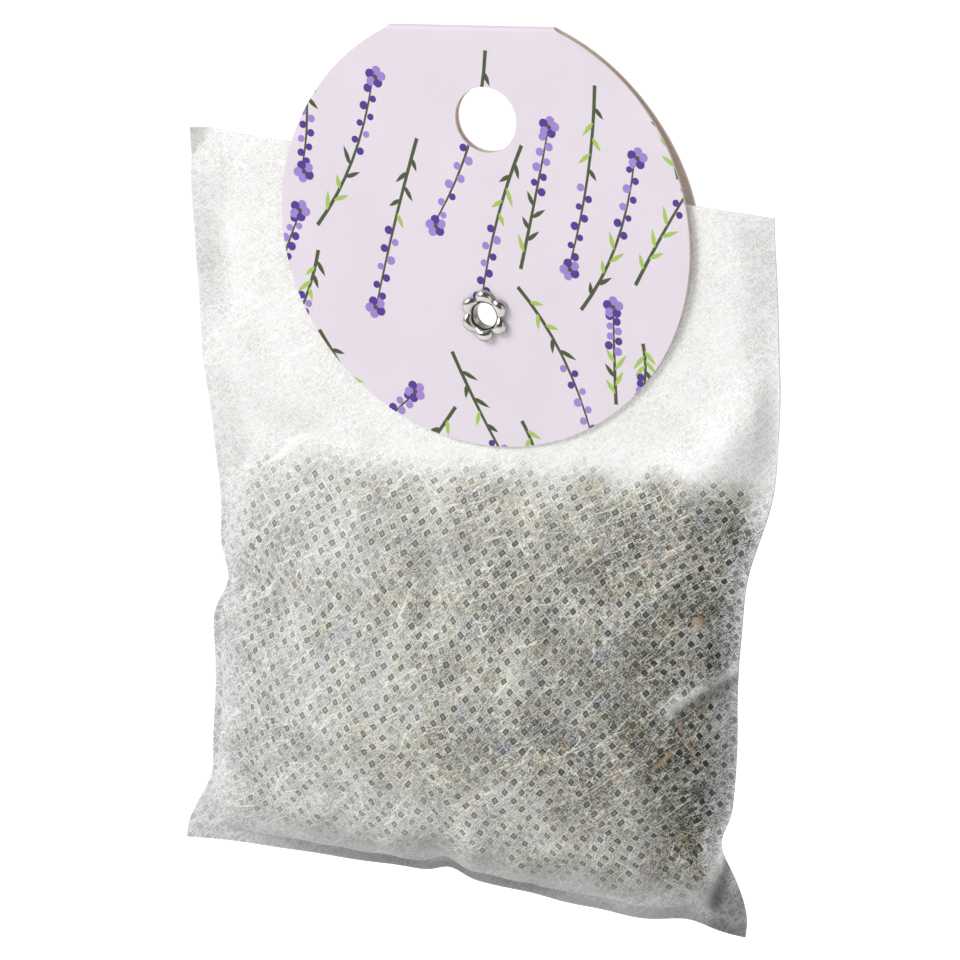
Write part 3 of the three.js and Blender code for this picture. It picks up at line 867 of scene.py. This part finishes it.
def bag_sheet(name, side, material, columns=151, flat_rows=58, pouch_rows=117):
    even = np.linspace(-1, 1, columns)
    across = 0.5 * np.sin(even * np.pi / 2) + 0.5 * even
    flat = np.linspace(-1, 0, flat_rows, endpoint=False)
    pouch = 1 - (1 - np.linspace(0, 1, pouch_rows)) ** 1.6
    u, s = np.meshgrid(across, np.concatenate([flat, pouch]))
    inner = sheet_point(u, s, side)
    swell = simulated_swell(inner, u, s, side)
    inner = inner + swell[..., None] * outward_normals(inner, side)
    outer = inner + FABRIC * outward_normals(inner, side)
    from_eyelet = np.hypot(inner[..., 0], inner[..., 2]).ravel()
    faces = sheet_faces(u.shape, side)
    faces = faces[np.all(from_eyelet[faces] > EYELET_HOLE_RADIUS, axis=1)]
    layers = [to_frame(layer).reshape(-1, 3) for layer in (outer, inner)]
    points, closed, _, used = closed_shell(faces, layers)

    flat_x = BAG_WIDTH * (arc_lengths(inner, 1) - 0.5)
    flat_z = -BAG_HEIGHT * arc_lengths(inner, 0)
    cloth = np.stack([flat_x, flat_z, np.full(u.shape, PATTERN_APART * side)], axis=-1)
    looks = {
        "pressed": pressed_by_fill(u, s, inner, side),
        # shade and light are painted shade, with painted highlights on fold ridges, for the fabric's colour
        "shade": sheet_painted_shade(u, s, inner),
        "light": sheet_painted_shadow(u, s, inner),
    }
    return make_object(
        name,
        points,
        closed,
        [material],
        sharp=math.radians(70),
        vectors={"cloth": np.tile(cloth.reshape(-1, 3), (2, 1))[used]},
        floats={key: np.tile(values.ravel(), 2)[used] for key, values in looks.items()},
    )


# Filling


def fill_level(x):
    return FILL_LEVEL + FILL_TILT * x


def fill_top(u):
    """The filling's ragged top, as s."""
    x = u * FILL_HALF
    _, level = on_sheet(x, fill_level(x))
    return level + lumps(x, x * 0, FILL_TOP_LUMPS)


def fill_core(material, columns=110, rows=80):
    """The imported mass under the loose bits, a lumpy cushion inside the sheets with a ragged edge."""
    across, t = np.meshgrid(np.linspace(-1, 1, columns), np.linspace(0, 1, rows))
    u = across * (CORE_REACH + lumps(across * 0, t * CORE_HEIGHT, CORE_SIDES))
    top = fill_top(u) + CORE_TOP_DROP / (POUCH_TOP - BAG_BOTTOM)
    bottom = CORE_FOOT + lumps(across * FILL_HALF, t * 0, CORE_FOOT_LUMPS)
    s = top + t * (bottom - top)
    lies = []
    for side in (-1, 1):
        x, z, middle, out = sheet_place(u, s, side)
        inside = np.maximum(out - CORE_DEPTH, THINNEST)
        rough = np.minimum(lumps(x, z, CORE_LUMPS, 10 * side), CORE_LUMP_LIMIT)
        y = middle + side * (inside + smoothstep(inside, 0.1, 2.0) * rough)
        lies.append(to_frame(np.stack([x, y, z], axis=-1)).reshape(-1, 3))
    points, faces, *_ = closed_shell(grid_faces(rows, columns), lies)
    rng = np.random.default_rng(303)
    tint = np.clip(rng.normal(0.1, 0.06, len(points)), 0, 1)
    return make_object("fill_core", points, faces, [material], sharp=math.radians(60), floats={"tint": tint})


def spindle(rings=5, sides=6):
    """A unit bud: length 1 along X, half thickness 1 across. Points and faces."""
    along = np.linspace(-0.5, 0.5, rings)
    swell = np.sqrt(np.clip(1 - (2 * along * 0.96) ** 2, 0, 1)) * (1 - 0.25 * along)
    angle = np.linspace(0, 2 * np.pi, sides, endpoint=False)
    points = [(a, w * math.cos(t), w * math.sin(t)) for a, w in zip(along, swell) for t in angle]
    here = np.arange(rings * sides).reshape(rings, sides)
    beside = np.roll(here, -1, axis=1)
    faces = np.stack([here[:-1], beside[:-1], beside[1:], here[1:]], axis=-1).reshape(-1, 4)
    return np.array(points), faces.tolist() + [here[0, ::-1].tolist(), here[-1].tolist()]


def unit(vectors):
    return vectors / np.linalg.norm(vectors, axis=-1, keepdims=True)


def bit_axes(u, s, side, turn, tip):
    """For bits that lie under a sheet: its point and outward normal, and the bits' three axes."""
    step = 0.004
    across = sheet_point(u + step, s, side) - sheet_point(u - step, s, side)
    down = sheet_point(u, s + step, side) - sheet_point(u, s - step, side)
    normal = unit(np.cross(down, across))
    normal *= side * np.sign(normal[:, 1:2])
    across = unit(across)
    along = np.cos(turn) * across + np.sin(turn) * np.cross(normal, across)
    along = unit(along + tip * normal)
    width = unit(np.cross(normal, along))
    return sheet_point(u, s, side), normal, np.stack([along, width, np.cross(along, width)], axis=1)


def loose_bits(name, side, count, seed, material):
    """Buds, stem pieces and flakes that lie just under a sheet, each turned its own way."""
    rng = np.random.default_rng(seed)
    u = rng.uniform(-BITS_REACH, BITS_REACH, count)
    top = fill_top(u)
    strewn = top + (BITS_FOOT - top) * rng.uniform(0, 1, count)
    s = np.clip(strewn + np.abs(rng.normal(0, BITS_SINK, count)), BITS_TOP, BITS_FOOT)
    turn = rng.uniform(0, np.pi, count)
    tip = np.abs(rng.normal(0, 0.1, count))
    place, normal, axes = bit_axes(u, s, side, turn[:, None], tip[:, None])

    kind = rng.choice(len(BIT_SHARES), count, p=BIT_SHARES)
    length = np.choose(kind, [rng.uniform(*span, count) for span in BIT_LENGTHS])
    half = np.choose(kind, [rng.uniform(*span, count) for span in BIT_HALVES])
    thick = np.choose(kind, [half * BUD_FLATNESS, half, np.full(count, FLAKE_HALF_THICK)])
    depth = thick + length * tip / 2 + rng.uniform(0.1, 1.2, count)
    bud_tints = rng.beta(2.0, 2.6, count) * 0.7
    stem_tints = rng.normal(0.76, 0.06, count)
    flake_tints = rng.beta(1.6, 1.8, count)
    tint = np.clip(np.choose(kind, [bud_tints, stem_tints, flake_tints]), 0, 1)

    shape, shape_faces = spindle()
    sizes = np.stack([length, half, thick], axis=-1)
    centre = place - normal * depth[:, None]
    points = centre[:, None, :] + np.einsum("pk,bk,bkj->bpj", shape, sizes, axes)
    u, s = on_sheet(points[..., 0], points[..., 2])
    u = np.clip(u, -BITS_EDGE, BITS_EDGE)
    x, z, middle, out = sheet_place(u, np.minimum(s, BITS_SEAM), side)
    most = np.maximum(out - BITS_CLEAR, THINNEST)
    lift = np.clip(side * (points[..., 1] - middle), 0.02, most)
    points = to_frame(np.stack([x, middle + side * lift, z], axis=-1)).reshape(-1, 3)
    starts = range(0, len(points), len(shape))
    faces = [tuple(start + i for i in face) for start in starts for face in shape_faces]
    return make_object(name, points, faces, [material], floats={"tint": np.repeat(tint, len(shape))})


# Card


def turned(points, angle):
    cos, sin = math.cos(angle), math.sin(angle)
    x, z = points.T
    return np.stack([x * cos - z * sin, x * sin + z * cos], axis=-1)


def fold(x, t, offset):
    """From the flat strip to the folded card: t runs up the front leaf, over the fold and down the back."""
    turn = np.clip((t - FOLD_START) / LEAF_MIDDLE, 0, np.pi)
    radius = LEAF_MIDDLE + offset
    past = np.maximum(t - FOLD_START - np.pi * LEAF_MIDDLE, 0)
    z = np.where(t < FOLD_START, t, FOLD_START + radius * np.sin(turn) - past)
    below = FOLD_START - z
    rims = smoothstep(below, *BOW_RISES) * smoothstep(below, *BOW_FALLS) * (np.abs(x) / CARD_RADIUS) ** 2.2
    bow = np.where(turn > np.pi / 2, BACK_BOW, -FRONT_BOW)
    x, z = turned(np.stack([x, z], axis=-1), FOLD_TILT).T
    return np.stack([x, bow * rims - radius * np.cos(turn), z + CARD_CENTRE_Z], axis=-1)


def on_back(points):
    """Where points of a leaf lie along the strip on the back leaf."""
    return np.stack([points[:, 0], 2 * FOLD_START + math.pi * LEAF_MIDDLE - points[:, 1]], axis=-1)


def strip_outline(sides=150, bend_steps=8):
    """The flat strip's outline as points (x, t), and its half widths over the fold with their t."""
    start = math.asin(FOLD_START / CARD_RADIUS)
    angles = np.linspace(start, -math.pi - start, sides)
    leaf = CARD_RADIUS * np.stack([np.cos(angles), np.sin(angles)], axis=-1)
    turn = np.linspace(0, math.pi, bend_steps + 1)
    half = np.sqrt(CARD_RADIUS**2 - (FOLD_START + LEAF_MIDDLE * np.sin(turn)) ** 2)
    bend = np.stack([half, FOLD_START + LEAF_MIDDLE * turn], axis=-1)
    return np.vstack([leaf, bend[1:-1] * (-1, 1), on_back(leaf)[::-1], bend[-2:0:-1]]), bend


def counter_clockwise(points):
    x, z = points.T
    area = np.sum(x * np.roll(z, -1) - z * np.roll(x, -1))
    return points if area > 0 else points[::-1]


def ring(centre_x, centre_z, radius, sides):
    angle = np.linspace(0, 2 * np.pi, sides, endpoint=False)
    return np.stack([centre_x + radius * np.cos(angle), centre_z + radius * np.sin(angle)], axis=-1)


def way(angle):
    return np.array([math.cos(angle), math.sin(angle)])


def leaf_shape(base, heading, length, width, steps=5):
    """A pointed leaf as a closed outline."""
    share = np.linspace(0, 1, steps)
    swell = np.sin(np.pi * share**0.8) * width / 2
    left = np.stack([share * length, swell], axis=-1)
    right = np.stack([share[-2:0:-1] * length, -swell[-2:0:-1]], axis=-1)
    return turned(np.vstack([left, right]), heading) + base


def blossom(centre, radius, heading, petals=5):
    """A flower: outlines with their inks."""
    shapes = []
    for petal_index in range(petals):
        middle = centre + 0.62 * radius * way(heading + petal_index * 2 * math.pi / petals)
        ink = DARK_PURPLE if petal_index % 2 else LIGHT_PURPLE
        shapes.append((ring(*middle, 0.46 * radius, 9), ink))
    shapes.append((ring(*centre, 0.24 * radius, 7), DARK_GREEN))
    return shapes


def twig(foot, heading, length, bend, rng):
    """A leafy twig with berries along its upper half and a blossom at its tip."""
    share = np.linspace(0, 1, 9)
    spine = np.stack([share * length, bend * share**2], axis=-1)
    slope = np.arctan2(2 * bend * share, length)
    across = np.stack([-np.sin(slope), np.cos(slope)], axis=-1)
    half = (0.32 - 0.18 * share)[:, None]
    stem = np.vstack([spine + across * half, (spine - across * half)[::-1]])
    shapes = [(stem, DARK_GREEN)]
    side = 1
    for at in np.arange(0.12, 0.5, 0.085):
        base = np.array([at * length, bend * at * at])
        angle = math.atan2(2 * bend * at, length) + side * rng.uniform(0.5, 0.8)
        ink = LIGHT_GREEN if rng.uniform() < 0.45 else DARK_GREEN
        shapes.append((leaf_shape(base, angle, rng.uniform(2.2, 3.4), 0.75), ink))
        side = -side
    for at in np.arange(0.56, 0.99, 0.055):
        base = np.array([at * length, bend * at * at])
        reach = rng.uniform(0.75, 1.05) * (1.25 - 0.5 * at)
        centre = base + reach * way(math.atan2(2 * bend * at, length) + side * 1.15)
        ink = DARK_PURPLE if rng.uniform() < 0.6 else LIGHT_PURPLE
        shapes.append((ring(*centre, rng.uniform(0.55, 0.75), 9), ink))
        side = -side
    shapes += blossom(spine[-1] + (0.9, 0.0), 1.7, slope[-1])
    return [(turned(points, heading) + foot, ink) for points, ink in shapes]


def leaf_print(seed):
    """The print of one leaf: twigs of four lengths, strewn evenly and clear of each other, off the fold."""
    rng = np.random.default_rng(seed)
    shapes = []
    taken = np.zeros((0, 2))
    for length, tries in TWIGS:
        for _ in range(tries):
            foot = rng.uniform(-CARD_RADIUS - 4, CARD_RADIUS + 4, 2)
            heading = math.pi / 2 * rng.choice([-1, 1]) + rng.uniform(-0.75, 0.75)
            own_length = length * rng.uniform(0.9, 1.1)
            sprig = twig(foot, heading, own_length, rng.uniform(-0.28, 0.28) * length, rng)
            points = np.vstack([outline for outline, _ in sprig])
            on_leaf = points[np.hypot(*points.T) < CARD_RADIUS]
            if len(on_leaf) < 12 or points[:, 1].max() > FOLD_START - 0.4:
                continue
            apart = np.hypot(*(on_leaf[:, None] - taken[None]).T)
            if apart.size and apart.min() < PRINT_GAP:
                continue
            taken = np.vstack([taken, on_leaf])
            shapes += sprig
    return shapes


def card_holes():
    """Outlines of the hang hole and the eyelet's hole, in both leaves."""
    holes = []
    for height, radius in ((0, HANG_HOLE_RADIUS), (EYELET_Z, EYELET_HOLE_RADIUS)):
        centre = turned(np.array([[0.0, height - CARD_CENTRE_Z]]), -FOLD_TILT)[0]
        front = ring(*centre, radius, 56)
        holes += [front, on_back(front)]
    return holes


def cut_strip(holes, shapes):
    """The flat strip in triangles, cut along its holes and its print: points, triangles and their inks."""
    outline, bend = strip_outline()
    loops = [counter_clockwise(loop) for loop in [outline] + holes + [points for points, _ in shapes]]
    grid = np.stack(np.meshgrid(np.arange(-33, 34, 3.0), np.arange(-33, 31, 3.0)), axis=-1).reshape(-1, 2)
    grid = grid[np.hypot(*grid.T) < CARD_RADIUS - 1]
    shares = np.linspace(-1, 1, 15)
    rows = np.array([(share * half, t) for half, t in bend for share in shares])
    flat = np.vstack(loops + [grid, on_back(grid), rows])
    row_starts = range(len(flat) - len(rows), len(flat), len(shares))
    edges = [(i, i + 1) for start in row_starts for i in range(start, start + len(shares) - 1)]
    ends = np.cumsum([len(loop) for loop in loops])
    faces = [list(range(end - len(loop), end)) for loop, end in zip(loops, ends)]
    cut = delaunay_2d_cdt([Vector(point) for point in flat], edges, faces, 0, 1e-5)

    first_shape = 1 + len(holes)
    kept = []
    inks = []
    for triangle, origin in zip(cut[2], cut[5]):
        if 0 in origin and not any(0 < index < first_shape for index in origin):
            kept.append(triangle)
            top = max(origin)
            inks.append(shapes[top - first_shape][1] if top >= first_shape else PAPER)
    return np.array([tuple(point) for point in cut[0]]), np.array(kept), inks


def folded_card(materials):
    shapes = leaf_print(11) + [(on_back(points), ink) for points, ink in leaf_print(12)]
    places, kept, inks = cut_strip(card_holes(), shapes)
    layers = [fold(*places.T, offset) for offset in (BOARD / 2, BOARD / 2 - COAT, -BOARD / 2)]
    points, faces, tags, _ = closed_shell(kept, layers)
    looks = np.select([tags == 1, tags == 2, tags == 3], [RAW, EDGE, RAW], PAPER)
    looks[: len(kept)] = inks
    return make_object("printed_card", points, faces, materials, looks, sharp=math.radians(35))


# Eyelet


def metal_shell(grid, faces):
    """Sheet metal whose middle lies on a grid of points: points and faces."""
    normal = surface_normals(grid)
    layers = [(grid + sign * METAL / 2 * normal).reshape(-1, 3) for sign in (1, -1)]
    return closed_shell(faces, layers)[:2]


def barrel(seat):
    """Barrel and flange, turned about Y and closed round."""
    deep = seat + METAL / 2
    bend = np.linspace(math.pi / 2, math.pi, 6)[1:]
    flange = np.linspace(FLANGE_RADIUS, BARREL_RADIUS + FLANGE_BEND, 5)
    curl = BARREL_RADIUS + FLANGE_BEND * (1 + np.cos(bend))
    radii = np.concatenate([flange, curl, [BARREL_RADIUS, BARREL_RADIUS]])
    curl_depths = deep - FLANGE_BEND + FLANGE_BEND * np.sin(bend)
    depths = np.concatenate([np.full(len(flange), deep), curl_depths, [0.0, -seat]])
    turns = np.linspace(0, 2 * np.pi, 73)
    ring_x = radii[:, None] * np.sin(turns)
    ring_z = radii[:, None] * np.cos(turns)
    ring_y = np.repeat(depths[:, None], len(turns), axis=1)
    wrap = np.arange(ring_x.size).reshape(ring_x.shape)
    wrap[:, -1] = wrap[:, 0]
    faces = wrap.ravel()[grid_faces(*ring_x.shape)]
    return metal_shell(np.stack([ring_x, ring_y, ring_z], axis=-1), faces)


def petal(turn, seat, rng, rows=17, columns=13):
    """A tongue of the barrel, rolled outward and over, fullest at its crest, round at its sides and tip."""
    along = np.linspace(0, 1, rows)[:, None]
    across = np.linspace(-1, 1, columns)[None, :]
    roll = PETAL_ROLL * rng.uniform(0.97, 1.06)
    angle = math.pi * (1 - along * rng.uniform(0.98, 1.08))
    taper = (0.78 + 0.22 * np.sin(np.pi * along)) * np.sqrt(1 - 0.6 * along**5)
    half = PETAL_HALF * taper * rng.uniform(0.95, 1.04)
    dome = np.sqrt(1 - 0.7 * across**2)
    radius = BARREL_RADIUS + roll + roll * np.cos(angle) * np.where(along > 0.5, 0.25 + 0.75 * dome, 1)
    depth = seat + roll * np.sin(angle) * dome
    lean = rng.uniform(-0.04, 0.04) * along
    theta = turn + lean + np.arcsin(half * across / np.maximum(radius, PETAL_ROOT_RADIUS))
    grid = np.stack([radius * np.sin(theta), -depth + 0 * theta, radius * np.cos(theta)], axis=-1)
    return metal_shell(grid, grid_faces(rows, columns))


def eyelet(material):
    seat = CARD_FACE + SEAT_GAP
    rng = np.random.default_rng(21)
    turns = [2 * math.pi * i / PETAL_COUNT for i in range(PETAL_COUNT)]
    points = np.zeros((0, 3))
    faces = []
    for part_points, part_faces in [barrel(seat)] + [petal(turn, seat, rng) for turn in turns]:
        faces += [tuple(i + len(points) for i in face) for face in part_faces]
        points = np.vstack([points, part_points])
    points = points + (0, 0, EYELET_Z)
    return make_object("clinched_eyelet", points, faces, [material], sharp=math.radians(50))


# Stage: floor, light and camera


def floor(below=-260, size=6000):
    """A pale floor that looks white to the eye."""
    material, nodes = new_material("pale_floor")
    white = (255, 255, 255)
    patch = nodes.noise(nodes.object_place(), 3.0, 2.0)
    rays = nodes.new("LightPath").outputs
    seen = nodes.math("MAXIMUM", rays["Is Camera Ray"], rays["Is Glossy Ray"])
    seen = nodes.math("MAXIMUM", seen, rays["Is Transmission Ray"])
    nodes.surface({
        "Base Color": nodes.ramp(patch, [(0.3, white, 0.86), (0.7, white, 0.9)]),
        "Roughness": 0.9,
        "Emission Color": (1, 1, 1, 1),
        "Emission Strength": nodes.math("MULTIPLY", seen, 0.6),
    })
    half = size / 2
    corners = [(-half, -half, below), (half, -half, below), (half, half, below), (-half, half, below)]
    obj = make_object("floor", corners, [(0, 1, 2, 3)], [material])


def area_lamp(name, place, size, power, target=(0, 0, -0.06)):
    data = bpy.data.lights.new(name, "AREA")
    data.shape = "DISK"
    data.size = size
    data.energy = power
    lamp = bpy.data.objects.new(name, data)
    lamp.location = place
    lamp.rotation_euler = (Vector(target) - Vector(place)).to_track_quat("-Z", "Y").to_euler()
    bpy.context.scene.collection.objects.link(lamp)


def studio_world(ambient=0.38, dim_side=0.12):
    """White to the eye, plain light on the object, and a dim room on the camera's side for metal to show."""
    world = bpy.data.worlds.new("studio")
    bpy.context.scene.world = world
    nodes = Nodes(world)
    rays = nodes.new("LightPath").outputs
    direction = nodes.new("SeparateXYZ", nodes.new("TexCoord").outputs["Generated"]).outputs
    across = nodes.times_plus(direction[0], -0.5, direction[1])
    room = nodes.remap(across, -0.55, 0.25, dim_side, 1.0)
    seen = nodes.math("MAXIMUM", rays["Is Camera Ray"], rays["Is Transmission Ray"])
    strength = nodes.blend(rays["Is Glossy Ray"], nodes.remap(seen, 0.0, 1.0, ambient, 1.0), room)
    background = nodes.tree.nodes["Background"]
    background.inputs["Color"].default_value = (1, 1, 1, 1)
    nodes.put(strength, background.inputs["Strength"])


def photo_camera(azimuth=25, elevation=16, target=(-1.3, 0, -58.5), lens=500, sensor=36, field=150.3):
    """A long lens from the right and above, framing the sachet."""
    data = bpy.data.cameras.new("photo_camera")
    data.lens = lens
    data.sensor_width = sensor
    data.clip_start = 0.05
    data.clip_end = 50
    camera = bpy.data.objects.new("photo_camera", data)
    a, e = math.radians(azimuth), math.radians(elevation)
    back = Vector((math.sin(a) * math.cos(e), -math.cos(a) * math.cos(e), math.sin(e)))
    camera.location = (Vector(target) + back * (field * lens / sensor)) * MM
    camera.rotation_euler = (-back).to_track_quat("-Z", "Y").to_euler()
    bpy.context.scene.collection.objects.link(camera)
    bpy.context.scene.camera = camera


# The object


def dress_bag():
    fabric = fabric_material()
    herb = herb_material("dried_herb", 1.0)
    core = herb_material("packed_herb", 0.6)
    mass = fill_core(core)
    front_bits = loose_bits("loose_bits_front", -1, FRONT_BITS, 401, herb)
    back_bits = loose_bits("loose_bits_back", 1, BACK_BITS, 402, herb)
    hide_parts("lavender_fill")
    for bits, kind in ((front_bits, "dried_bud"), (back_bits, "stem_piece")):
        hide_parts(*[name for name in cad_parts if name.startswith(kind)])
    for piece in (mass, front_bits, back_bits):
        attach(piece, "bag")
    for name, side, node in (("bag_front", -1, "bag_front_sheet"), ("bag_back", 1, "bag_back_sheet")):
        sheet = bag_sheet(name, side, fabric)
        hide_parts(node)
        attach(sheet, "bag")


def dress_tag():
    inks = [
        print_material("printed_lilac", (229, 219, 229), 0.03),
        print_material("ink_dark_purple", (76, 42, 140)),
        print_material("ink_light_purple", (160, 130, 206)),
        print_material("ink_dark_green", (64, 76, 38)),
        print_material("ink_light_green", (166, 196, 88)),
        board_material(),
        print_material("coated_edge", (238, 232, 236), 0.03),
    ]
    card = folded_card(inks)
    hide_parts("folded_card")
    metal = eyelet(nickel_material())
    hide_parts("eyelet")
    for piece in (card, metal):
        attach(piece, "tag")


photo_camera()
dress_tag()
dress_bag()
floor()
studio_world()
area_lamp("key", (-0.85, -0.75, 0.65), 0.7, 12.7)
area_lamp("fill", (0.9, -0.7, 0.2), 0.9, 1.7)
area_lamp("back", (0.75, 0.95, 0.55), 0.9, 3.0)
bpy.context.scene.view_settings.view_transform = "Standard"
